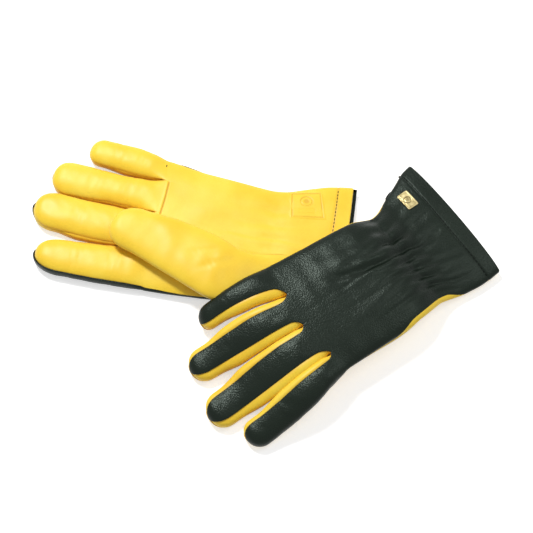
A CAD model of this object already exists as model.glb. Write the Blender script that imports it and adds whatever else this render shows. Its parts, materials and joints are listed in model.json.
import json
import math
import bpy
import numpy as np
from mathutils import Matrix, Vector

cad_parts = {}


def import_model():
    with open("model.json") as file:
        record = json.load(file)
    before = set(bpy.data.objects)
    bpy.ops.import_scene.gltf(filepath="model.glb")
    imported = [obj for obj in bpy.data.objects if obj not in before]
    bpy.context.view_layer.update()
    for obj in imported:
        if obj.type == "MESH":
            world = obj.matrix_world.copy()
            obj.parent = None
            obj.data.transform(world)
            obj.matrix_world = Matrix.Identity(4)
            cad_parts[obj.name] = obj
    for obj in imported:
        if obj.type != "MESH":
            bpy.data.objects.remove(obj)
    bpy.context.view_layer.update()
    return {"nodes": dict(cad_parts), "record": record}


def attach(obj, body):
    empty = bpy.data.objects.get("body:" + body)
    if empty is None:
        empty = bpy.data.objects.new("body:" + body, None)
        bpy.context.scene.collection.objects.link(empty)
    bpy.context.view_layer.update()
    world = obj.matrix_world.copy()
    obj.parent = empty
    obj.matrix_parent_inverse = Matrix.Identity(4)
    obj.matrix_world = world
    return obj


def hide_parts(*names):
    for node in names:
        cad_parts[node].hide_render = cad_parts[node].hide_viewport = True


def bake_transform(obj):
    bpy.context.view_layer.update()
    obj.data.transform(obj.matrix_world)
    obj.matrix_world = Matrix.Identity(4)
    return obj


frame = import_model()

# ---- sizes, in millimetres
# Lists of two hold the left glove's value and the right glove's.  A glove's own frame has x from
# the cuff's edge to the finger roots, and y from the little finger's side to the index finger's.
MM = 0.001
LEATHER, HEM_LEATHER, THUMB_LEATHER, STRIP_LEATHER = 1.2, 2.0, 1.0, 0.9
# How deep the lining and the elastic lie, their thickness, and the elastic's half width.
LINING_IN, ELASTIC_IN, CLOTH, ELASTIC_HALF_W = 2.6, 4.2, 0.8, 3.6
PALM, HAND_H, CUFF_H, FINGER_H, THUMB_H = 150.0, 14.0, 12.0, 13.0, 11.5
HEM_W, ELASTIC_X = 11.0, 56.0
LENGTHS = [92.5, 101.0, 92.0, 68.0, 85.0]      # index to little finger, then the thumb
FOLD_X, FINGER_GAP, THUMB_GAP, LIFT_H = 12.0, 1.0, 0.6, 16.0
BADGE = (16.0, 10.0, 0.9, 0.15)      # length, width, thickness, gap
BADGE_AT = (22.0, -32.0)
TURN = [171.0, 216.0]                  # degrees from the row frame's +X to a glove's own x
CUFF_AT = [(62.9, 33.0), (152.3, 59.9)]
STAND_X, STAND_RUN = 30, 40           # where the cuff comes down from its badge, and over how far
RISE_X, RISE_RUN, FALL_X, FALL_RUN = 34, 49, 170, 70       # the right glove's way over the left one
# Outline of the hand: x, y at the little finger's side, y at the index finger's side.
OUTLINE = [
    [(0, -55, 57), (10, -54, 59), (20, -52.5, 59), (35, -48, 57), (50, -43, 54), (62, -42, 54),
     (75, -43.5, 57), (92, -46, 60), (120, -49.5, 61), (150, -56, 60)],
    [(0, -58, 58), (10, -56, 59), (20, -51, 59), (35, -45, 57), (48, -38, 54), (57, -35.5, 53.5),
     (75, -40, 57), (92, -41.5, 59), (120, -44, 58), (150, -47.5, 57)],
]
OUTLINE_ROUNDING = 14
# Where one finger's root ends and the next one's starts.
ROOTS = [
    [(150, 60), (150, 24), (152, -6), (150, -36), (150, -56)],
    [(148, 57), (154, 40), (158, 9.5), (153, -18.5), (149, -47.5)],
]
THUMB_ROOT = [[(110, 60.5), (97, 10.5)], [(105, 55), (103, 17)]]
# For each finger and the thumb: direction in degrees, sideways bow, and half widths at the root,
# near the middle and three quarters of the way.
POINTS_TO = [[-0.6, -4.5, -4.7, -8.5, -17], [2.9, -1, -7.7, -9.5, -2.9]]
BOW = [[1.5, 2, 0.2, -1, -2], [2.5, -1.3, -1, -2, 0]]
HALF_W = [
    [(18, 16.6, 15.5), (15, 17, 16.6), (15, 13.5, 15.4), (10, 12.8, 12.2), (25, 22.6, 18.4)],
    [(8.5, 12.7, 12.3), (15.3, 16.8, 15.2), (14, 16, 14.2), (14.5, 12.3, 10.6), (19, 18, 16.5)],
]
WIDTH_AT, WIDTH_ROUNDING = (0, 0.4, 0.75), 0.3
SLOT_R = 9.0                          # side strips come to their full width this far from a root
ROOT_FADE = 17.0                      # the hand's arch turns into the finger's over this length
REACH_PAST = [1.6, 1.8, 0.7, 0.3]     # how far the left back stands past its palm side at the tips
POINTED = [[1.55, 1.15, 1, 1, 1.15], [1, 1, 1, 1, 1]]      # longer tapers at the tips
# The thumb's web: x and y where it starts and where it joins the thumb, how far it stands out, and
# the length over which the thumb's own shape runs back into it.
GUSSET_X, GUSSET_Y, GUSSET_RISE, RUN_BACK = (34, 52), (14, 24), 1.2, 52.0
GUSSET_END = ((103.5, 11), (104, 17))
THUMB_WRAP = 32                       # degrees that the thumb's front reaches past its sides
# Angles of the seams between panels and side strips, on the upper and the lower half of a finger:
# [towards the index finger's side, towards the little finger's side] for each finger.
UP_SEAM = [[(12, 16), (20, 16), (18, 16), (18, 12)], [(0, 57), (54, 52), (57, 55), (66, 0)]]
DOWN_SEAM = [52, 35]
# Angles of the side seams: [index finger's side, little finger's side].
OUTER_SEAM = [(26, 8), (-25, -25)]
# How the right glove's side seams climb onto its back beside the wrist: from x, to x, degrees.
SEAM_CLIMB, CLIMB_RUN, FALL_BACK_RUN = ((26, 116, 33), (22, 112, 25)), 24, 30
# Roundness of the upper arch, the lower arch and the tips, share of the height above the seams, and
# how long a tip's rounding is for its height.
UP_P, DOWN_P, TIP_P, UP_SHARE, TAPER = 2.4, 3.2, 2.2, 0.56, 0.75
TIP_END = 0.03
LOBE_SHARE, LOBE_POWER = 0.04, 30     # how much, and how suddenly, the hand turns into fingers
# Shares of the palm's length: full thickness is reached, and thinning to the fingers starts.
THICK_BY, THIN_FROM = 0.6, 0.75
LEFT, RIGHT, TOP, BOTTOM, THUMB = 0, 1, 1, -1, 4
SIDES = ["left", "right"]
FINGERS = ["index", "middle", "ring", "pinky"]
COLS = 26            # columns of quads to a finger
DOWN = 1 - UP_SHARE


# ---- helpers
def mix(a, b, u):
    return a + (b - a) * u


def ease(u):
    u = np.clip(u, 0, 1)
    return u * u * (3 - 2 * u)


def spow(v, e):
    return np.sign(v) * np.abs(v) ** e


def unit(v):
    return v / np.maximum(np.linalg.norm(v, axis=-1, keepdims=True), 1e-12)


def cap(u):
    u = np.clip(u, 0, 1)
    return (1 - (1 - u) ** TIP_P) ** (1 / TIP_P)


def smooth_table(xs, ys, lo, hi, width):
    """A table's broken line, rounded at its corners, as a function."""
    x = np.linspace(lo - 2 * width, hi + 2 * width, 1201)
    y = np.interp(x, xs, ys)
    k = np.hanning(max(3, int(width / (x[1] - x[0]))))
    y = np.convolve(np.pad(y, len(k) // 2, mode="edge"), k / k.sum(), mode="same")
    y = y[len(k) // 2: len(k) // 2 + len(x)]
    return lambda v: np.interp(v, x, y)


EDGES = [[smooth_table([r[0] for r in rows], [r[k] for r in rows], 0, PALM, OUTLINE_ROUNDING)
          for k in (1, 2)] for rows in OUTLINE]
WIDTHS = [[smooth_table(WIDTH_AT, w, 0, 1, WIDTH_ROUNDING) for w in widths] for widths in HALF_W]


def cuff_stand(x):
    """The left cuff stands on its badge, and the right one is kept level with it."""
    return (BADGE[2] + BADGE[3]) * (1 - ease((x - STAND_X) / STAND_RUN))


def lift(g, x):
    """Height of a glove's underside over what the gloves lie on."""
    if g == LEFT:
        return cuff_stand(x)
    over = ease((x - RISE_X) / RISE_RUN) * (1 - ease((x - FALL_X) / FALL_RUN))
    return cuff_stand(x) + LIFT_H * over


def place(g, p):
    """From a glove's own frame, in mm, to the row frame, in metres."""
    c, s = math.cos(math.radians(TURN[g])), math.sin(math.radians(TURN[g]))
    x = CUFF_AT[g][0] + p[..., 0] * c - p[..., 1] * s
    y = CUFF_AT[g][1] + p[..., 0] * s + p[..., 1] * c
    return np.stack([x, y, p[..., 2] + lift(g, p[..., 0])], axis=-1) * MM


def back_side(g):
    return TOP if g == RIGHT else BOTTOM


def side_name(g, side):
    return "back" if side == back_side(g) else "palm"


def section(up, down, a):
    """Across and height of a squarish arch at the angle a, in degrees."""
    s, c = np.sin(np.radians(a)), np.cos(np.radians(a))
    e = np.where(s >= 0, 2 / UP_P, 2 / DOWN_P)
    return spow(c, e), np.where(s >= 0, up, down) * spow(s, e)


def root_ends(g, f):
    return THUMB_ROOT[g] if f == THUMB else [ROOTS[g][f], ROOTS[g][f + 1]]


def finger_point(g, f, d, t, a):
    """A point d inside a finger's skin, t from its root and a degrees round it."""
    t, a = np.broadcast_arrays(np.asarray(t, float), np.asarray(a, float))
    long = LENGTHS[f]
    s = t / long
    ang = math.radians(POINTS_TO[g][f])
    along = np.array([math.cos(ang), math.sin(ang)])
    side = np.array([-math.sin(ang), math.cos(ang)])
    e = [np.array(v, float) for v in root_ends(g, f)]
    mid, slope = (e[0] + e[1]) / 2, unit(e[0] - e[1])
    c = mid + along * ((long - d) * s)[..., None] + side * (BOW[g][f] * 4 * s * (1 - s))[..., None]
    across = unit(mix(slope, side, ease(t / FOLD_X)[..., None]))
    from_tip = np.maximum((1 - s) * (long - d), TIP_END)
    h = THUMB_H if f == THUMB else FINGER_H
    w = WIDTHS[g][f](s) - (0 if f == THUMB else FINGER_GAP / 2 * np.minimum(1, t / 3)) - d
    ch = cap(from_tip / (TAPER * h - d))
    q = section((UP_SHARE * h - d) * ch, (DOWN * h - d) * ch, a)
    xy = c + across * (w * cap(from_tip / (w * POINTED[g][f])) * q[0])[..., None]
    floor = 0 if f != THUMB else THUMB_GAP + (
        HAND_H if g == LEFT else -lift(g, (e[0][0] + e[1][0]) / 2 + t))
    return np.concatenate([xy, (floor + DOWN * h + q[1])[..., None]], axis=-1)


def seam_angle(g, f, side, towards, t):
    """Angle of the seam beside a finger's panel; towards is 0 on the index finger's side."""
    if (f == 0 and towards == 0) or (f == 3 and towards == 1):
        return 0 * t + side * OUTER_SEAM[g][towards]
    return (UP_SEAM[g][f][towards] if side == TOP else DOWN_SEAM[g]) * cap(t / SLOT_R)


def hand_thick(u):
    return mix(mix(CUFF_H, HAND_H, ease(u / THICK_BY)), FINGER_H,
               ease((u - THIN_FROM) / (1 - THIN_FROM)))


def lobes(u):
    return LOBE_SHARE * u ** LOBE_POWER


def mid_w(g, u):
    """The outline's middle and half width."""
    lo, hi = EDGES[g][0](u * PALM), EDGES[g][1](u * PALM)
    return (hi + lo) / 2, (hi - lo) / 2


def arch_angle(r, side):
    """The angle at which an arch is the share r of its half width from the middle."""
    p = UP_P if side == TOP else DOWN_P
    return np.degrees(np.arccos(np.clip(spow(r, p / 2), -1, 1)))


def root_column(g, side, f, a):
    """Across, height, x and angle on the hand's arch, for the angle a round a finger's root."""
    q = section(1, 1, side * a)
    e = root_ends(g, f)
    k = (1 - q[0]) / 2
    x, y = mix(e[0][0], e[1][0], k), mix(e[0][1], e[1][1], k)
    m, w = mid_w(g, 1.0)
    r = (y - m) / w
    if a < 0:
        b = -arch_angle(r, -side)
    elif a > 180:
        b = 360 - arch_angle(r, -side)
    else:
        b = arch_angle(r, side)
    return r, side * q[1], x, b


def root_columns(g, side):
    """Columns over the hand, one for each column of quads along its fingers."""
    out = []
    for n in range(4 * COLS + 1):
        f = min(3, n // COLS)
        lo, hi = seam_angle(g, f, side, 0, 0), seam_angle(g, f, side, 1, 0)
        out.append(root_column(g, side, f, mix(lo, 180 - hi, (n - f * COLS) / COLS)))
    return np.array(out, float)


def half_heights(side, u, d):
    t = hand_thick(u)
    return (UP_SHARE * t - d, DOWN * t - d) if side == TOP else (DOWN * t - d, UP_SHARE * t - d)


def seam_rise(g, towards, x):
    if g == LEFT:
        return 0 * x
    lo, hi, most = SEAM_CLIMB[towards]
    return most * ease((x - lo) / CLIMB_RUN) * (1 - ease((x - hi + FALL_BACK_RUN) / FALL_BACK_RUN))


def hand_point(g, side, d, u, col, shift=True):
    """A point d inside the hand's skin; u is 0 at the cuff's edge and 1 at the finger roots."""
    u = np.asarray(u, float)
    turn = 0
    if shift:
        share = (col[..., 3] - col[..., :1, 3]) / (col[..., -1:, 3] - col[..., :1, 3])
        turn = side * (seam_rise(g, 0, u * PALM) * (1 - share) ** 3
                       - seam_rise(g, 1, u * PALM) * share ** 3)
    a0, a1 = section(1, 1, side * (col[..., 3] + turn))
    a1 = side * a1
    k = lobes(u)
    up, down = half_heights(side, u, d)
    z = mix(a1, col[..., 1], k)
    m, w = mid_w(g, u)
    return np.stack([u * col[..., 2] + 0 * z, m + mix(a0, col[..., 0], k) * (w - d),
                     DOWN * hand_thick(u) + side * z * np.where(z >= 0, up, down)], axis=-1)


def skin_column(g, side, x, y):
    """The column that hand_point needs to give the point at x and y."""
    u = x / PALM
    m, w = mid_w(g, u)
    a = arch_angle((y - m) / w, side)
    q = section(1, 1, side * a)
    return np.stack([q[0], side * q[1], PALM + 0 * a, a], axis=-1)


def unevenness(p, size, seed):
    """Smooth and repeatable, about -1 to 1: sines of two sizes, in directions that seed picks."""
    rng = np.random.RandomState(seed)
    waves = 5
    out, amp, total = 0, 1.0, 0.0
    for _ in range(2):
        for _ in range(waves):
            v = rng.normal(size=3)
            v *= 2 * math.pi / size / np.linalg.norm(v) * rng.uniform(0.7, 1.3)
            out = out + amp * np.sin(p @ v + rng.uniform(0, 2 * math.pi))
        total += amp * waves ** 0.5
        amp, size = amp * 0.5, size * 0.5
    return out / total


# ---- folds in the leather
# Valleys that the wrist elastic gathers: y at the cuff, at the elastic and in the palm, depth, and
# how far each runs towards the cuff and into the palm.
GATHERS = [
    (-58, -42, -48, 0.5, 8, 8), (-46, -32, -37, 1.3, 14, 14), (-31, -20.5, -24, 1.9, 24, 26),
    (-15, -8.2, -10, 2.6, 32, 32), (4, 3.4, 3, 2.9, 36, 38), (15, 12, 11, 1.6, 14, 16),
    (27, 20.5, 21, 2.7, 34, 30), (37, 29.5, 31, 1.7, 18, 20), (48, 38.2, 42, 2.3, 28, 28),
    (57, 46.5, 51, 1.1, 12, 14), (70, 57, 62, 0.5, 8, 8),
]
PINCH, PINCH_W = 1.1, 3.2             # depth and width of the waist at the elastic
PUFFS = ((46, 6, 0.9), (67, 7, 0.8))  # x, width and height of the puffs on both sides of it
# Creases over the back of the hand: points, width, depth and fade at the ends.
LONG_FOLD = (((66, 5), (96, -0.5), (124, -8)), 3.0, 2.2, 18)
BACK_CREASES = ((((70, 30), (96, 33), (128, 39)), 3.2, 0.7, 20),
                (((74, -24), (100, -27), (126, -30)), 3.5, 0.6, 18))
# The same over the left thumb's web.
WEB_CREASES = ((((78, 30), (96, 36), (116, 44)), 3.0, 0.7, 16),
               (((90, 22), (108, 27), (124, 31)), 2.4, 0.45, 12))
# Swellings over the back of the hand: x, length, y, width, lean and height.
SWELLINGS = ((100, 24, 33, 8, 0.0, 1.3), (98, 22, -12, 7, 0.2, 0.9))
SWELL_LEAN_X = 90
FINGER_CREASES, FINGER_CREASE_W, FINGER_CREASE_D = (0.3, 0.62), 0.9, 0.16
HEM_GROOVE, HEM_GROOVE_W, HEM_STEP = 0.42, 0.55, 0.3
ROOT_SEAM_Y = (-36, 22)               # where the seam across the left palm starts and ends
CUFF_BOW, BACK_PAST_CUFF, BACK_TUCK = 1.4, 3.0, 0.8


def root_seam_x(y):
    """The seam across the left palm, below its fingers."""
    y = y + 22
    return 147.6 + 0.05 * y + 0.0022 * y ** 2


def crease(x, y, line, width, depth, fade):
    """A valley along a line of points, with soft shoulders."""
    at = np.interp(x, [q[0] for q in line], [q[1] for q in line])
    ends = ease((x - line[0][0]) / fade) * (1 - ease((x - line[-1][0] + fade) / fade))
    e = (y - at) / width
    return depth * ends * (0.35 * np.exp(-(e / 2.6) ** 2) - np.exp(-e ** 2))


def gathers(x, y):
    """Puckers beside the elastic: round ridges between sharp valleys that fan out both ways."""
    table = np.array(GATHERS, float)
    step = np.arange(len(table))
    off = np.abs(x - ELASTIC_X)
    out = np.zeros_like(x)
    for i in range(x.shape[0]):
        o, to_cuff = off[i].mean(), x[i].mean() < ELASTIC_X
        spread = min(1.0, o / (36 if to_cuff else 45))
        line = mix(table[:, 1], table[:, 0] if to_cuff else table[:, 2], spread)
        line = line + 0.8 * np.sin(x[i].mean() / (4.4 + 0.31 * step) + 1.9 * step) * min(1.0, o / 6)
        ph = np.interp(y[i], line, step)
        depth = np.interp(ph, step, table[:, 3])
        reach = np.interp(ph, step, table[:, 4 if to_cuff else 5])
        ridge = np.sqrt(np.sin(np.pi * ph) ** 2 + 0.03) - 0.66
        out[i] = depth * np.exp(-(o / reach) ** 1.6) * ridge
    pinch = -PINCH * np.exp(-((x - ELASTIC_X) / PINCH_W) ** 2)
    swell = sum(high * np.exp(-((x - at) / wide) ** 2) for at, wide, high in PUFFS)
    return 1.5 * out * (1 + 0.25 * np.exp(-((off - 7) / 6) ** 2)) + pinch + swell


def folds(g, side, p, f, t, across=None):
    """Height of the leather's folds over its plain shape, in mm."""
    x, y = p[..., 0], p[..., 1]
    is_back = side == back_side(g)
    if f is not None:
        t = np.broadcast_to(t, x.shape)
        d = 0.22 * unevenness(p, 21, 11 + g + 5 * f) * ease(t / 10) * ease((LENGTHS[f] - t) / 12)
        for k, at in enumerate(FINGER_CREASES):
            for m in range(3):
                c = LENGTHS[f] * at + (m - 1) * 3.4 + 0.8 * math.sin(3 * m + f + 2 * k)
                lean = 0.9 * np.sin(y / 4.0 + m + f)
                line = np.exp(-((t - c + lean) / FINGER_CREASE_W) ** 2)
                d = d - FINGER_CREASE_D * line * (1 - 0.4 * is_back)
        return d
    near = 1 - ease((x - PALM + 14) / 14)
    inner = 1 if across is None else 1 - np.abs(across) ** 5
    d = 0.5 * unevenness(p, 44, 3 + g + side) * near * ease(x / 12) * inner
    hem = (HEM_STEP * (1 - ease((x - HEM_W + 2) / 2))
           - HEM_GROOVE * np.exp(-((x - HEM_W) / HEM_GROOVE_W) ** 2))
    if is_back:
        # The leather is flat under the badge.
        bare = 1 - np.exp(-(((x - BADGE_AT[0]) / 9) ** 2 + ((y - BADGE_AT[1]) / 12) ** 2) ** 2)
        calm = bare * ease((x - HEM_W - 1) / 9)
        d = d * bare + gathers(x, y) * calm * inner
        d = d + crease(x, y, *LONG_FOLD)
        for at_x, long, at_y, wide, lean, high in SWELLINGS:
            off = y - at_y + lean * (x - SWELL_LEAN_X)
            d = d + high * np.exp(-(off / wide) ** 2 - ((x - at_x) / long) ** 2)
        for c in BACK_CREASES:
            d = d + crease(x, y, *c)
    else:
        d = d + 0.45 * (gathers(x, y) + 0.9 * np.exp(-((x - ELASTIC_X) / 3.6) ** 2)) * (
            0.35 + 0.65 * (g == RIGHT)) * ease((x - HEM_W - 1) / 9) * near * inner
        if g == LEFT:
            at = root_seam_x(y)
            on = ease((y - ROOT_SEAM_Y[0]) / 2) * (1 - ease((y - ROOT_SEAM_Y[1]) / 2))
            d = d + on * (0.28 * np.exp(-((x - at - 1.2) / 0.9) ** 2)
                          - 0.6 * np.exp(-((x - at) / 0.5) ** 2))
    return d + hem * (1 if across is None else 1 - np.abs(across) ** 12)


def outline_shift(g, side, p):
    """The cuff's edge bows out.  The left glove's back, which is the lower side, reaches past the
    palm at the cuff and stays out of sight at the sides."""
    x, y = p[..., 0], p[..., 1]
    out = p.copy()
    bow = CUFF_BOW * (1 - (y / 60) ** 2) * (1 - ease(x / 45))
    if g == LEFT and side == back_side(g):
        bow = bow + BACK_PAST_CUFF * (1 - ease(x / 30))
        tuck = np.sign(y) * ease((np.abs(y) - 25) / 15) * (1 - ease((x - 112) / 30))
        out[..., 1] -= BACK_TUCK * tuck
    out[..., 0] -= bow
    return out


# ---- rows
ROW_STEP = 1.6


def finger_rows(long):
    """Distances from the root: close together at the slot's end and at the tip."""
    tip = 14
    first = [SLOT_R * (1 - math.cos(math.radians(90 * i / 7))) for i in range(7)]
    body = list(np.arange(SLOT_R, long - tip, ROW_STEP))
    last = [long - tip + tip * math.sin(math.radians(90 * i / 10)) for i in range(11)]
    return np.array(first + body + last)


# Close together at the hem's groove and at the seam across the palm.
HAND_ROWS = np.concatenate([
    np.linspace(0, HEM_W - 1.4, 7), HEM_W + np.array([-0.9, -0.45, 0, 0.45, 0.9]),
    np.arange(HEM_W + 2, 145.5, 1.15), np.arange(145.8, PALM - 0.2, 0.5), [PALM]])


def lie_flat(g, p):
    """The leather flattens softly where it would sink below what the gloves lie on."""
    out = p.copy()
    z = p[..., 2] + lift(g, p[..., 0])
    least, soft_from = 0.05, 0.6
    room = soft_from - least
    soft = least + room * np.exp(np.minimum(z - soft_from, 0) / room)
    out[..., 2] += np.where(z < soft_from, soft - z, 0)
    return out


def normals(p, flip):
    n = unit(np.cross(np.gradient(p, axis=0), np.gradient(p, axis=1)))
    return -n if flip else n


def facing(p, side):
    """Normals of a grid whose middle faces up for TOP or down for BOTTOM."""
    n = normals(p, False)
    return -n if n[p.shape[0] // 2, p.shape[1] // 2, 2] * side < 0 else n


def outward(p, out):
    """Normals of a grid that mostly agree with the directions out."""
    n = normals(p, False)
    return -n if (n * out).sum() < 0 else n


class Skin:
    """One side of a glove: a grid over the hand, carried on by a grid along each finger."""

    def __init__(self, g, side):
        self.g, self.side = g, side
        cols = root_columns(g, side)
        u = (HAND_ROWS / PALM)[:, None]
        self.hand = outline_shift(g, side, hand_point(g, side, 0, u, cols[None]))
        self.fingers, self.t = [], []
        for f in range(4):
            t = finger_rows(LENGTHS[f])[:, None]
            lo, hi = (seam_angle(g, f, side, k, t) for k in (0, 1))
            a = side * mix(lo, 180 - hi, np.arange(COLS + 1)[None] / COLS)
            p = finger_point(g, f, 0, t, a)
            # The hand's flat arch carries on for a way under the finger's own, at the same angle.
            table = np.linspace(a[0, 0] * side, a[0, -1] * side, 121)
            cols = np.array([root_column(g, side, f, v) for v in table])
            edge = hand_point(g, side, 0, 1.0, cols, shift=False)
            gap = edge - finger_point(g, f, 0, 0.0 * table, side * table)
            gap = np.stack([np.interp(a * side, table, gap[:, k]) for k in range(3)], axis=-1)
            self.fingers.append(p + gap * (1 - ease(t / ROOT_FADE))[..., None])
            self.t.append(t)
        self.solve_normals()
        self.plain, self.n_plain = self.hand, self.n_hand        # without folds, for the lining
        across = np.linspace(-1, 1, 4 * COLS + 1)[None]
        rise = folds(g, side, self.hand, None, None, across)
        self.hand = lie_flat(g, self.hand + self.n_hand * rise[..., None])
        for f in range(4):
            w = folds(g, side, self.fingers[f], f, self.t[f])
            if g == LEFT and side == back_side(g):
                # The left glove's finger backs stand a little past the palm side at their edges.
                m = np.maximum(0, np.linspace(1, -1, COLS + 1))[None] ** 4
                w = w + 0.9 * m * ease(self.t[f] / 12) * ease((LENGTHS[f] - self.t[f]) / 14)
                ang = math.radians(POINTS_TO[g][f])
                along = np.array([math.cos(ang), math.sin(ang), 0])
                reach = REACH_PAST[f] * ease((self.t[f] - LENGTHS[f] + 34) / 30)
                self.fingers[f] = self.fingers[f] + along * reach[..., None]
            self.fingers[f] = lie_flat(g, self.fingers[f] + self.n_f[f] * w[..., None])
            self.fingers[f][0] = self.hand[-1, f * COLS:(f + 1) * COLS + 1]
        self.solve_normals()

    def solve_normals(self):
        """Normals over the hand and fingers, shared in the row where they meet."""
        flip = self.side == TOP
        self.n_hand = normals(self.hand, flip)
        self.n_f = []
        last = np.zeros_like(self.hand[-1])
        for f in range(4):
            s = slice(f * COLS, (f + 1) * COLS + 1)
            k = len(self.hand) - 1
            n = normals(np.concatenate([self.hand[:-1, s], self.fingers[f]]), flip)
            self.n_f.append(n[k:])
            last[s] += n[k]
        last = unit(last)
        self.n_hand[-1] = last
        for f in range(4):
            self.n_f[f][0] = last[f * COLS:(f + 1) * COLS + 1]


# ---- meshes
def make_object(name, verts, faces, material, custom=None):
    mesh = bpy.data.meshes.new(name)
    mesh.from_pydata([tuple(v) for v in verts], [], faces)
    mesh.materials.append(material)
    for p in mesh.polygons:
        p.use_smooth = True
    mesh.update()
    if custom is not None:
        mesh.normals_split_custom_set_from_vertices([tuple(v) for v in custom])
    obj = bpy.data.objects.new(name, mesh)
    bpy.context.scene.collection.objects.link(obj)
    return obj


RIM_ANGLES = (45, 90, 135)


def panel(g, name, p, n, thick, material, rims=(1, 1, 1, 1), shade=None):
    """A sheet of leather over the grid p with normals n.  rims says which ends are rounded over:
    first row, last row, first column, last column; a 0 leaves a flush cut there.  shade, from 0 to
    1, is where the material darkens."""
    rows, cols = p.shape[:2]
    th = np.broadcast_to(np.asarray(thick, float), (rows, cols))
    inner = p - n * th[..., None]
    ring = ([(0, j) for j in range(cols)] + [(i, cols - 1) for i in range(1, rows)]
            + [(rows - 1, j) for j in range(cols - 2, -1, -1)]
            + [(i, 0) for i in range(rows - 2, 0, -1)])
    out = np.zeros_like(p)
    if rims[0]:
        out[0] += unit(p[0] - p[1])
    if rims[1]:
        out[-1] += unit(p[-1] - p[-2])
    if rims[2]:
        out[:, 0] += unit(p[:, 0] - p[:, 1])
    if rims[3]:
        out[:, -1] += unit(p[:, -1] - p[:, -2])
    ri, rj = np.array([r[0] for r in ring]), np.array([r[1] for r in ring])
    o = out[ri, rj]
    length = np.linalg.norm(o, axis=-1, keepdims=True)
    o = np.where(length > 1, o / np.maximum(length, 1e-9), o)
    base, nn, r = p[ri, rj], n[ri, rj], th[ri, rj][:, None] / 2
    loops = []
    for deg in RIM_ANGLES:
        c, s = math.cos(math.radians(deg)), math.sin(math.radians(deg))
        loops.append((base - nn * r + nn * r * c + o * r * s, unit(nn * c + o * s + 1e-9)))
    idx = np.arange(rows * cols).reshape(rows, cols)
    verts = [p.reshape(-1, 3), inner.reshape(-1, 3)]
    norms = [n.reshape(-1, 3), -n.reshape(-1, 3)]
    start = 2 * rows * cols
    rings = [idx[ri, rj]]
    for k, (at, normal) in enumerate(loops):
        verts.append(at)
        norms.append(normal)
        rings.append(start + k * len(ring) + np.arange(len(ring)))
    rings.append(rows * cols + idx[ri, rj])
    corners = [k.ravel() for k in (idx[:-1, :-1], idx[:-1, 1:], idx[1:, 1:], idx[1:, :-1])]
    quads = [np.stack(corners, 1), np.stack(corners[::-1], 1) + rows * cols]
    for x, y in zip(rings, rings[1:]):
        quads.append(np.stack([np.roll(x, -1), x, y, np.roll(y, -1)], 1))
    faces = np.concatenate(quads)
    if np.cross(p[0, 1] - p[0, 0], p[1, 0] - p[0, 0]) @ n[0, 0] < 0:
        faces = faces[:, ::-1]
    v, m = np.concatenate(verts), np.concatenate(norms)
    # Normals turn with the glove, and tilt with its rise.
    slope = lift(g, v[:, 0] + 0.5) - lift(g, v[:, 0] - 0.5)
    m[:, 0] -= slope * m[:, 2]
    m = unit(m)
    c, s = math.cos(math.radians(TURN[g])), math.sin(math.radians(TURN[g]))
    m = np.stack([m[:, 0] * c - m[:, 1] * s, m[:, 0] * s + m[:, 1] * c, m[:, 2]], 1)
    obj = make_object(name, place(g, v), faces.tolist(), material, custom=m)
    if shade is not None:
        sh = np.broadcast_to(shade, (rows, cols))
        value = np.concatenate([sh.ravel(), sh.ravel()] + [sh[ri, rj]] * len(loops))
        value = value.astype(np.float32)
        obj.data.attributes.new("crease", "FLOAT", "POINT").data.foreach_set("value", value)
    return obj


# ---- materials
# Tones run from the low to the high spots of a noise: place and colour.
YELLOW_TONES = [(0.3, (0.95, 0.61, 0.03)), (0.55, (0.98, 0.68, 0.045)),
                (0.75, (0.99, 0.735, 0.075))]
DARK_TONES = [(0.3, (0.0040, 0.0075, 0.0045)), (0.7, (0.0065, 0.0115, 0.0072))]
BRASS_TONES = [(0.3, (0.38, 0.31, 0.14)), (0.7, (0.52, 0.44, 0.23))]
YELLOW_DEEP, BRASS_DEEP = (0.62, 0.27, 0.012), (0.06, 0.04, 0.012)       # in creases and grooves


def grey(v):
    return (v, v, v)


def nodes_of(name, color, rough, specular=0.5):
    m = bpy.data.materials.new(name)
    m.use_nodes = True
    nt = m.node_tree
    b = nt.nodes["Principled BSDF"]
    b.inputs["Base Color"].default_value = (*color, 1)
    b.inputs["Roughness"].default_value = rough
    b.inputs["Specular IOR Level"].default_value = specular
    return m, nt, b


def node(nt, kind, **inputs):
    n = nt.nodes.new(kind)
    for k, v in inputs.items():
        n.inputs[k.replace("_", " ")].default_value = v
    return n


def noise(nt, scale, detail=3.0, rough=0.55):
    co = nt.nodes.new("ShaderNodeTexCoord")
    n = node(nt, "ShaderNodeTexNoise", Scale=scale, Detail=detail, Roughness=rough)
    nt.links.new(co.outputs["Object"], n.inputs["Vector"])
    return n


def cells(nt, scale, smoothness):
    co = nt.nodes.new("ShaderNodeTexCoord")
    n = node(nt, "ShaderNodeTexVoronoi", Scale=scale)
    n.feature = "SMOOTH_F1"
    n.inputs["Smoothness"].default_value = smoothness
    nt.links.new(co.outputs["Object"], n.inputs["Vector"])
    return n


def ramp(nt, source, stops):
    r = nt.nodes.new("ShaderNodeValToRGB")
    ends = r.color_ramp.elements
    for e, (pos, col) in zip(ends, (stops[0], stops[-1])):
        e.position, e.color = pos, (*col, 1)
    for pos, col in stops[1:-1]:
        ends.new(pos).color = (*col, 1)
    nt.links.new(source, r.inputs["Fac"])
    return r


def mix_color(nt, kind, fac, a, b):
    m = nt.nodes.new("ShaderNodeMix")
    m.data_type, m.blend_type = "RGBA", kind
    for i, v in ((0, fac), (6, a), (7, b)):      # a colour mix's own sockets
        if hasattr(v, "is_linked"):
            nt.links.new(v, m.inputs[i])
        else:
            m.inputs[i].default_value = (*v, 1) if i else v
    return m.outputs[2]


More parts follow.
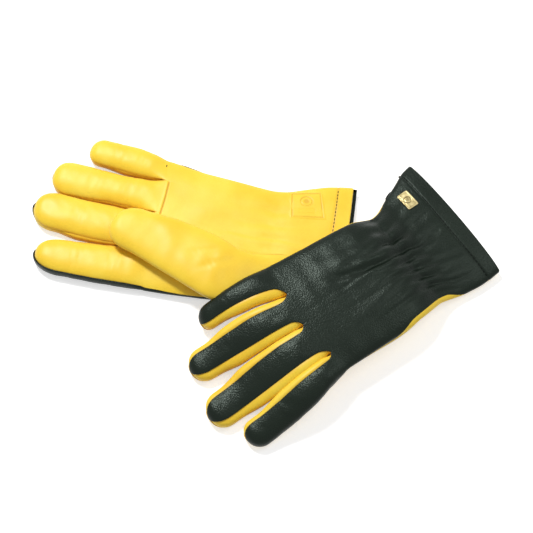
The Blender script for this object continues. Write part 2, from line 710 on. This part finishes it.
def bump(nt, height, strength, distance, before=None):
    b = node(nt, "ShaderNodeBump", Strength=strength, Distance=distance)
    nt.links.new(height, b.inputs["Height"])
    if before is not None:
        nt.links.new(before.outputs["Normal"], b.inputs["Normal"])
    return b


def creased(nt, tone, deep):
    """A tone that turns to the colour deep where the mesh says it is creased."""
    tint = nt.nodes.new("ShaderNodeAttribute")
    tint.attribute_name = "crease"
    return mix_color(nt, "MIX", tint.outputs["Fac"], tone.outputs["Color"], deep)


def yellow_leather():
    m, nt, b = nodes_of("yellow_leather", YELLOW_TONES[1][1], 0.4, 0.35)
    broad, fine = noise(nt, 28.0), noise(nt, 700.0, 5.0, 0.6)
    tone = ramp(nt, broad.outputs["Fac"], YELLOW_TONES)
    deep = creased(nt, tone, YELLOW_DEEP)
    spots = ramp(nt, fine.outputs["Fac"], [(0.35, grey(0.93)), (0.6, grey(1))])
    nt.links.new(mix_color(nt, "MULTIPLY", 0.5, deep, spots.outputs["Color"]),
                 b.inputs["Base Color"])
    grain = cells(nt, 900.0, 0.6)
    one = bump(nt, grain.outputs["Distance"], 0.12, 0.0002)
    two = bump(nt, noise(nt, 160.0, 4.0).outputs["Fac"], 0.16, 0.0006, one)
    nt.links.new(two.outputs["Normal"], b.inputs["Normal"])
    rough = ramp(nt, broad.outputs["Fac"], [(0.3, grey(0.38)), (0.7, grey(0.46))])
    nt.links.new(rough.outputs["Color"], b.inputs["Roughness"])
    b.inputs["Sheen Weight"].default_value = 0.15
    b.inputs["Sheen Roughness"].default_value = 0.5
    return m


def dark_leather():
    m, nt, b = nodes_of("dark_leather", (0.006, 0.010, 0.007), 0.24, 0.2)
    b.inputs["Specular Tint"].default_value = (0.84, 1, 0.88, 1)
    tone = ramp(nt, noise(nt, 40.0).outputs["Fac"], DARK_TONES)
    pebble, small = cells(nt, 1000.0, 0.35), cells(nt, 2300.0, 0.3)
    high = ramp(nt, pebble.outputs["Distance"], [(0.1, grey(1.25)), (0.7, grey(0.7))])
    nt.links.new(mix_color(nt, "MULTIPLY", 0.8, tone.outputs["Color"], high.outputs["Color"]),
                 b.inputs["Base Color"])
    one = bump(nt, small.outputs["Distance"], 0.2, 0.0001)
    one.invert = True
    two = bump(nt, pebble.outputs["Distance"], 0.5, 0.0003, one)
    two.invert = True
    three = bump(nt, noise(nt, 170.0).outputs["Fac"], 0.2, 0.0005, two)
    nt.links.new(three.outputs["Normal"], b.inputs["Normal"])
    rough = ramp(nt, pebble.outputs["Distance"], [(0.1, grey(0.22)), (0.7, grey(0.34))])
    nt.links.new(rough.outputs["Color"], b.inputs["Roughness"])
    return m


def cloth(name, color, scale, depth, sheen=0.15):
    m, nt, b = nodes_of(name, color, 0.9, 0.1)
    n = noise(nt, scale, 4.0)
    low, high = (tuple(k * c for c in color) for k in (0.6, 1.5))
    tone = ramp(nt, n.outputs["Fac"], [(0.3, low), (0.7, high)])
    nt.links.new(tone.outputs["Color"], b.inputs["Base Color"])
    nt.links.new(bump(nt, n.outputs["Fac"], 0.5, depth).outputs["Normal"], b.inputs["Normal"])
    b.inputs["Sheen Weight"].default_value = sheen
    return m


def brass_metal():
    m, nt, b = nodes_of("brass", (0.46, 0.38, 0.19), 0.3)
    b.inputs["Metallic"].default_value = 1.0
    n = noise(nt, 300.0, 2.0)
    tone = ramp(nt, n.outputs["Fac"], BRASS_TONES)
    nt.links.new(creased(nt, tone, BRASS_DEEP), b.inputs["Base Color"])
    rough = ramp(nt, n.outputs["Fac"], [(0.3, grey(0.26)), (0.7, grey(0.38))])
    nt.links.new(rough.outputs["Color"], b.inputs["Roughness"])
    nt.links.new(bump(nt, n.outputs["Fac"], 0.05, 0.0002).outputs["Normal"], b.inputs["Normal"])
    return m


YELLOW, DARK = yellow_leather(), dark_leather()
LINING = cloth("lining", (0.012, 0.012, 0.013), 900.0, 0.0004)
ELASTIC = cloth("elastic", (0.02, 0.02, 0.02), 700.0, 0.0003)
THREAD = cloth("thread", (0.006, 0.007, 0.006), 2000.0, 0.0001, 0.0)
BRASS = brass_metal()
SLOTS = {"yellow_leather": YELLOW, "dark_leather": DARK, "lining": LINING, "elastic": ELASTIC,
         "thread": THREAD, "brass": BRASS}


def blend_finger(obj):
    """Bends a finger's skin round its fold, from its root to as far again past the fold."""
    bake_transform(obj)


def finish_piece(obj, body=None, nodes=()):
    if body:
        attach(obj, body)
    if nodes:
        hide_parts(*nodes)


def build_panels(g, skins):
    s, hand = SIDES[g], SIDES[g] + "_hand"
    for side, sk in skins.items():
        is_back = side == back_side(g)
        mat, slot = (DARK, "dark_leather") if is_back else (YELLOW, "yellow_leather")
        x, y = sk.hand[..., 0], sk.hand[..., 1]
        thick = mix(HEM_LEATHER, LEATHER, ease((HAND_ROWS[:, None] - HEM_W) / 4)) + 0 * x
        shade = 0.5 * np.exp(-((HAND_ROWS[:, None] - HEM_W) / 0.8) ** 2) + 0 * x
        if g == LEFT and not is_back:
            line = np.exp(-((x - root_seam_x(y)) / 0.55) ** 2)
            shade = shade + 0.9 * line * ease((y - ROOT_SEAM_Y[0]) / 2)
        name = "%s_%s" % (s, side_name(g, side))
        obj = panel(g, name, sk.hand, sk.n_hand, thick, mat, rims=(1, 0, 1, 1), shade=shade)
        finish_piece(obj, hand, [name + "_panel"])
        for f in range(4):
            name = "%s_%s_%s" % (s, FINGERS[f], "back" if is_back else "front")
            edge = np.abs(np.linspace(-1, 1, COLS + 1))[None] ** 12
            obj = panel(g, name + "_skin", sk.fingers[f], sk.n_f[f], LEATHER, mat,
                        rims=(0, 1, 1, 1), shade=0.45 * edge + 0 * sk.t[f])
            finish_piece(obj, None, [name])
            blend_finger(obj)


STRIP_ROOM, STRIP_PUFF = 0.35, (0.05, 2.4)       # kept between two strips, and limits of the puff


def build_side_strips(g, skins):
    """The two strips between each pair of fingers.  They puff out into the gap."""
    s = SIDES[g]
    for f in range(4):
        for towards in (0, 1):
            if (f == 0 and towards == 0) or (f == 3 and towards == 1):
                continue
            t = finger_rows(LENGTHS[f])[:, None]
            up = seam_angle(g, f, TOP, towards, t)
            down = -seam_angle(g, f, BOTTOM, towards, t)
            v = np.linspace(0, 1, 15)[None]
            under = 3 * ease(t / 6)
            a = mix(up + under, down - under, v)
            flip = 180 - a if towards else a
            other = f + 1 if towards else f - 1
            near = [finger_point(g, k, 0, np.minimum(t, LENGTHS[k]), 180.0 * (k < max(f, other)))
                    for k in (f, other)]
            room = np.linalg.norm((near[0] - near[1])[..., :2], axis=-1)
            puff = np.clip(room / 2 - STRIP_ROOM, *STRIP_PUFF) * np.sin(np.pi * v ** 0.8) ** 0.8
            puff = puff * ease(t / 5) * ease((LENGTHS[f] * 0.8 - t) / 22)
            body = finger_point(g, f, 0.3, t, flip)
            out = finger_point(g, f, 0, t, flip) - finger_point(g, f, 3, t, flip)
            body = body + unit(out) * puff[..., None]
            # Its edges are moved to just inside the edges of the finger's panels.
            k = COLS if towards else 0
            ends = [(skins[q].fingers[f] - 0.85 * skins[q].n_f[f])[:, k] for q in (TOP, BOTTOM)]
            vv = v[..., None]
            p = body + (1 - vv) * (ends[0][:, None] - body[:, :1])
            p = lie_flat(g, p + vv * (ends[1][:, None] - body[:, -1:]))
            low = 0.75 * np.exp(-(a / 12) ** 2) * (1 - ease((t - LENGTHS[f] * 0.7) / 20))
            shade = low + 0.6 * np.exp(-(v / 0.07) ** 2) + 0.35 * np.exp(-(t / 3.0) ** 2)
            name = "%s_%s_side_%s" % (s, FINGERS[f], "b" if towards else "a")
            obj = panel(g, name, p, outward(p, out), STRIP_LEATHER, YELLOW, rims=(0, 0, 0, 0),
                        shade=np.clip(shade, 0, 1))
            nodes = ["%s_%s_%s" % (s, FINGERS[f], "fourchette" if f in (0, 3) else "fourchettes")]
            if towards:
                nodes.append(s + "_fourchette_forks")
            finish_piece(obj, None, nodes)
            blend_finger(obj)


def rows_to_tip(start, long, tip, step, n):
    """Even steps to where the tip starts, then n rows that crowd towards its end."""
    last = long - tip + tip * np.sin(np.radians(90 * np.arange(n) / (n - 1)))
    return np.concatenate([np.arange(start, long - tip, step), last])[:, None]


def build_thumb(g):
    """The thumb and its web, as one grid that is cut where the thumb bends."""
    s, hand = SIDES[g], SIDES[g] + "_hand"
    side = -back_side(g)
    n_col, n_row = 44, 44
    v = np.arange(n_col + 1) / n_col
    t = rows_to_tip(0, LENGTHS[THUMB], 16, ROW_STEP, 12)
    round_it = side * mix(-THUMB_WRAP, 180 + THUMB_WRAP, v)
    top = finger_point(g, THUMB, 0, t, round_it[None])
    rows = []
    for i in range(n_row + 1):
        q = i / n_row
        x = mix(GUSSET_X[g], GUSSET_END[g][0], q)
        y = mix(EDGES[g][1](x) - 1.2, mix(GUSSET_Y[g], GUSSET_END[g][1], q), v)
        high = (THUMB_GAP + LEATHER + GUSSET_RISE) * np.sin(np.pi * v) ** 0.6 * ease(q / 0.25)
        out = -0.55 + 0.75 * v * ease(q / 0.3) + high
        col = skin_column(g, side, x + 0 * y, y)
        skin = hand_point(g, side, -out, x / PALM, col, shift=False)
        behind = finger_point(g, THUMB, 0, (q - 1) * RUN_BACK, round_it)
        rows.append(mix(skin, behind, ease(q / 0.9)))
    both = np.concatenate([np.array(rows)[:-1], top])
    x, y = both[..., 0], both[..., 1]
    d = 0.35 * unevenness(both, 30, 21 + g) * np.sin(np.pi * v)[None]
    if g == LEFT:
        for c in WEB_CREASES:
            d = d + crease(x, y, *c)
    both = lie_flat(g, both + facing(both, side) * d[..., None])
    n = facing(both, side)
    shade = 0.7 * np.exp(-((1 - v) / 0.03) ** 2)[None] + 0 * x
    web = slice(0, n_row + 1)
    obj = panel(g, s + "_thumb_gusset_skin", both[web], n[web], THUMB_LEATHER, YELLOW,
                rims=(1, 0, 1, 1), shade=shade[web])
    finish_piece(obj, hand, [s + "_thumb_gusset"])
    obj = panel(g, s + "_thumb_front_skin", both[n_row:], n[n_row:], THUMB_LEATHER, YELLOW,
                rims=(0, 1, 1, 1))
    finish_piece(obj, None, [s + "_thumb_front"])
    blend_finger(obj)
    a = side * mix(180 + THUMB_WRAP, 360 - THUMB_WRAP, np.arange(17) / 16)[None]
    low = finger_point(g, THUMB, 0.2, t, a)
    obj = panel(g, s + "_thumb_back_skin", low, facing(low, -side), THUMB_LEATHER, YELLOW,
                rims=(1, 1, 0, 0))
    finish_piece(obj, None, [s + "_thumb_back"])
    blend_finger(obj)


def build_linings(g, skins):
    s, hand = SIDES[g], SIDES[g] + "_hand"
    pick = [i for i, x in enumerate(HAND_ROWS) if x > 5][::3]
    for side, sk in skins.items():
        x = HAND_ROWS[pick][:, None]
        waist = np.exp(-((x - ELASTIC_X) / 24) ** 2)
        deep = LINING_IN + 2.6 * waist * (0.4 + 0.6 * (side == back_side(g)))
        n = sk.n_plain[pick][:, 3:-3:4]
        p = sk.plain[pick][:, 3:-3:4] - n * deep[..., None]
        obj = panel(g, "%s_lining_%s" % (s, side_name(g, side)), p, n, CLOTH, LINING)
        finish_piece(obj, hand, [s + "_hand_lining"])
    sk = skins[back_side(g)]
    pick = [i for i, x in enumerate(HAND_ROWS) if abs(x - ELASTIC_X) < ELASTIC_HALF_W]
    p, n = sk.plain[pick][:, 8:-8], sk.n_plain[pick][:, 8:-8]
    obj = panel(g, s + "_elastic_band", p - n * ELASTIC_IN, n, CLOTH, ELASTIC)
    finish_piece(obj, hand, [s + "_wrist_elastic"])
    for f in range(5):
        t = rows_to_tip(1 if f == THUMB else 2, LENGTHS[f], 12, 4.0, 6)
        p = finger_point(g, f, LINING_IN, t, np.linspace(0, 360, 25)[None])
        n = outward(p, p - p.mean(axis=1, keepdims=True))
        name = "thumb" if f == THUMB else FINGERS[f]
        obj = panel(g, "%s_%s_stall_lining" % (s, name), p, n, CLOTH, LINING, rims=(0, 0, 0, 0))
        finish_piece(obj, None, ["%s_%s_lining" % (s, name)])
        blend_finger(obj)


def frame_at(grid, n, i, j):
    """Point, normal and across direction at fractional column j of row i."""
    a = int(min(max(j, 0), grid.shape[1] - 2))
    w = j - a
    return (mix(grid[i, a], grid[i, a + 1], w), unit(mix(n[i, a], n[i, a + 1], w)),
            unit(grid[i, a + 1] - grid[i, a]))


STITCH, STITCH_R, STITCH_STEP, STITCH_FROM_SEAM = 2.5, 0.34, 3.3, 7.0
# A stitch along its length: place and radius, as shares.
STITCH_FORM = [(-0.5, 0.0), (-0.44, 0.65), (-0.25, 1.0), (0.25, 1.0), (0.44, 0.65), (0.5, 0.0)]


def stitches(g, name, centres, long, radius, material):
    """Short rounded stitches: (middle, normal, direction) for each."""
    ring, verts, faces = 8, [], []
    for c, n, d in centres:
        b = np.cross(n, d)
        base = len(verts)
        for u, r in STITCH_FORM:
            if r == 0.0:
                verts.append(c + d * long * u - n * radius * 0.9)
                continue
            dip = -radius * 0.8 * (2 * abs(u)) ** 2
            for m in range(ring):
                q = 2 * math.pi * m / ring
                off = n * math.sin(q) + b * math.cos(q)
                verts.append(c + d * long * u + radius * r * off + n * dip)
        for m in range(ring):
            o = (m + 1) % ring
            faces.append((base, base + 1 + o, base + 1 + m))
            for k in range(3):
                r0 = base + 1 + k * ring
                faces.append((r0 + m, r0 + o, r0 + ring + o, r0 + ring + m))
            faces.append((base + 1 + 3 * ring + m, base + 1 + 3 * ring + o, base + 1 + 4 * ring))
    return make_object(name, place(g, np.array(verts)), faces, material)


def build_hem_thread(g, skins):
    s = SIDES[g]
    row = int(np.argmin(np.abs(HAND_ROWS - HEM_W)))
    for side, sk in skins.items():
        line = sk.hand[row]
        at = np.concatenate([[0], np.cumsum(np.linalg.norm(np.diff(line, axis=0), axis=1))])
        centres = []
        for d in np.arange(STITCH_FROM_SEAM, at[-1] - STITCH_FROM_SEAM, STITCH_STEP):
            j = np.interp(d, at, np.arange(len(at)))
            c, n, along = frame_at(sk.hand, sk.n_hand, row, j)
            centres.append((c + n * 0.12, n, along))
        name = "%s_hem_stitches_%s" % (s, side_name(g, side))
        obj = stitches(g, name, centres, STITCH, STITCH_R, THREAD)
        finish_piece(obj, s + "_hand", [s + "_hem_thread"])


BADGE_GROOVE_IN, BADGE_RING_R = 0.9, 3.1


def build_badge(g):
    """A bare plate with a groove round its edge and a plain ring."""
    s, side = SIDES[g], back_side(g)
    long, wide, thick, gap = BADGE
    n_i, n_j = 30, 48
    i, j = np.linspace(-1, 1, n_i + 1)[:, None], np.linspace(-1, 1, n_j + 1)[None]
    # Rounded corners: the outermost points draw in.
    r = 0.6
    x = BADGE_AT[0] + i * (wide / 2 - r) * np.where(np.abs(j) > 0.93, 0.965, 1)
    y = BADGE_AT[1] + j * (long / 2 - r) * np.where(np.abs(i) > 0.9, 0.98, 1)
    col = skin_column(g, side, x + 0 * y, y + 0 * x)
    top = hand_point(g, side, -(gap + thick), (x + 0 * y) / PALM, col, shift=False)
    p = outline_shift(g, side, top)
    edge = np.minimum((1 - np.abs(i)) * wide / 2, (1 - np.abs(j)) * long / 2) - BADGE_GROOVE_IN
    off = np.hypot(i * wide / 2, j * long / 2)
    ring = off - BADGE_RING_R
    d = -0.12 * np.exp(-(edge / 0.2) ** 2) - 0.2 * np.exp(-(ring / 0.34) ** 2)
    p = p + facing(p, side) * d[..., None]
    shade = 0.4 * np.exp(-(edge / 0.22) ** 2) + np.exp(-(ring / 0.42) ** 2)
    shade = shade + 0.5 * np.exp(-(off / 1.5) ** 4)
    obj = panel(g, s + "_badge", p, facing(p, side), thick, BRASS, shade=np.clip(shade, 0, 1))
    finish_piece(obj, s + "_hand", [s + "_badge_plate"])


STAMP = [(47, -40), (25, -44), (20, -22), (44, -19)]
STAMP_D = 0.5
STAMP_EDGE, STAMP_RING_R = 0.12, 0.2      # as shares of the square's side


def build_stamp():
    """A square with a plain ring and three bare lines, stamped into the left palm near the cuff."""
    c = np.array(STAMP, float)
    span = np.linspace(-STAMP_EDGE, 1 + STAMP_EDGE, 85)
    u, v = span[:, None, None], span[None, :, None]
    xy = c[0] * (1 - u) * (1 - v) + c[1] * (1 - u) * v + c[2] * u * v + c[3] * u * (1 - v)
    x, y = xy[..., 0], xy[..., 1]
    col = skin_column(LEFT, TOP, x, y)
    p = outline_shift(LEFT, TOP, hand_point(LEFT, TOP, 0, x / PALM, col, shift=False))
    n = facing(p, TOP)
    p = p + n * folds(LEFT, TOP, p, None, None)[..., None]
    u, v = u[..., 0], v[..., 0]
    rim = np.minimum(np.minimum(u, 1 - u), np.minimum(v, 1 - v))
    edge = rim + STAMP_EDGE
    q = np.hypot(u - 0.34, v - 0.5)
    ring, middle = q - STAMP_RING_R, 1 - ease((q - 0.06) / 0.08)
    d = 0.42 * ease(edge / 0.09) - 0.12 - 0.34 * np.exp(-(rim / 0.022) ** 2)
    d = d - 0.12 * ease(rim / 0.05)
    d = d - 0.26 * np.exp(-(ring / 0.022) ** 2) - 0.16 * middle
    for k in range(3):
        line = np.exp(-((u - 0.66 - 0.09 * k) / 0.016) ** 2)
        d = d - 0.2 * line * ease((v - 0.2) / 0.05) * (1 - ease((v - 0.75) / 0.05))
    p = p + n * d[..., None]
    shade = np.clip(0.5 * np.exp(-(rim / 0.024) ** 2) + 0.5 * np.exp(-(ring / 0.03) ** 2)
                    + 0.45 * middle, 0, 1)
    obj = panel(LEFT, "left_palm_stamp", p, facing(p, TOP), STAMP_D, YELLOW, rims=(0, 0, 0, 0),
                shade=shade)
    finish_piece(obj, "left_hand")


for g in (LEFT, RIGHT):
    skins = {side: Skin(g, side) for side in (TOP, BOTTOM)}
    build_panels(g, skins)
    build_side_strips(g, skins)
    build_thumb(g)
    build_linings(g, skins)
    build_hem_thread(g, skins)
    build_badge(g)
    if g == LEFT:
        build_stamp()


slot_of = {r["node"]: r["material_slot"] for r in frame["record"]["subparts"]}
for name, obj in frame["nodes"].items():
    obj.data.materials.clear()
    obj.data.materials.append(SLOTS[slot_of[name]])


# ---- floor, light, camera
FLOOR_HALF, FLOOR_GLOW, WORLD_LIGHT = 6.0, 0.55, 0.33


def seen_rays(nt):
    """1 for the rays that see a thing straight, in a reflection or through glass, else 0."""
    path = nt.nodes.new("ShaderNodeLightPath")
    last = path.outputs["Is Camera Ray"]
    for kind in ("Is Glossy Ray", "Is Transmission Ray"):
        most = nt.nodes.new("ShaderNodeMath")
        most.operation = "MAXIMUM"
        nt.links.new(last, most.inputs[0])
        nt.links.new(path.outputs[kind], most.inputs[1])
        last = most.outputs[0]
    return most


def floor():
    """A plain floor that glows for the camera and in reflections, so that it shows as white."""
    mesh = bpy.data.meshes.new("floor")
    r = FLOOR_HALF
    mesh.from_pydata([(-r, -r, 0), (r, -r, 0), (r, r, 0), (-r, r, 0)], [], [(0, 1, 2, 3)])
    obj = bpy.data.objects.new("floor", mesh)
    bpy.context.scene.collection.objects.link(obj)
    m = bpy.data.materials.new("floor")
    m.use_nodes = True
    nt = m.node_tree
    b = nt.nodes["Principled BSDF"]
    b.inputs["Base Color"].default_value = (0.86, 0.86, 0.86, 1)
    b.inputs["Roughness"].default_value = 0.9
    e = nt.nodes.new("ShaderNodeEmission")
    e.inputs["Color"].default_value = (1, 1, 1, 1)
    k = seen_rays(nt)
    glow = nt.nodes.new("ShaderNodeMath")
    glow.operation = "MULTIPLY"
    glow.inputs[1].default_value = FLOOR_GLOW
    nt.links.new(k.outputs[0], glow.inputs[0])
    nt.links.new(glow.outputs[0], e.inputs["Strength"])
    both = nt.nodes.new("ShaderNodeAddShader")
    nt.links.new(b.outputs[0], both.inputs[0])
    nt.links.new(e.outputs[0], both.inputs[1])
    nt.links.new(both.outputs[0], nt.nodes["Material Output"].inputs["Surface"])
    mesh.materials.append(m)


def area_light(name, at, size, power):
    """A round light that points at the origin."""
    data = bpy.data.lights.new(name, "AREA")
    data.shape, data.size, data.energy = "DISK", size, power
    obj = bpy.data.objects.new(name, data)
    bpy.context.scene.collection.objects.link(obj)
    obj.location = at
    obj.rotation_euler = (-Vector(at)).to_track_quat("-Z", "Y").to_euler()


def world():
    """White for the camera and in reflections, and a softer light on everything."""
    w = bpy.data.worlds.new("studio")
    bpy.context.scene.world = w
    w.use_nodes = True
    nt = w.node_tree
    back = nt.nodes["Background"]
    back.inputs["Color"].default_value = (1, 1, 1, 1)
    seen = seen_rays(nt)
    mul = nt.nodes.new("ShaderNodeMath")
    mul.operation = "MULTIPLY_ADD"
    mul.inputs[1].default_value = 1 - WORLD_LIGHT
    mul.inputs[2].default_value = WORLD_LIGHT
    nt.links.new(seen.outputs[0], mul.inputs[0])
    nt.links.new(mul.outputs[0], back.inputs["Strength"])


floor()
world()
area_light("key", (-0.46, 0.68, 1.17), 0.28, 14.5)
area_light("fill", (0.7, 0.3, 1.25), 0.6, 3.0)

cam_data = bpy.data.cameras.new("camera")
cam = bpy.data.objects.new("camera", cam_data)
bpy.context.scene.collection.objects.link(cam)
TARGET, FAR, RAISED = (0.0018, 0.0205, 0.0), 1.25, math.radians(66)
cam.location = (TARGET[0], TARGET[1] - FAR * math.cos(RAISED), FAR * math.sin(RAISED))
cam.rotation_euler = (math.pi / 2 - RAISED, 0, 0)
cam_data.lens, cam_data.sensor_width = 105.5, 36.0
bpy.context.scene.camera = cam
bpy.context.scene.view_settings.view_transform = "Standard"
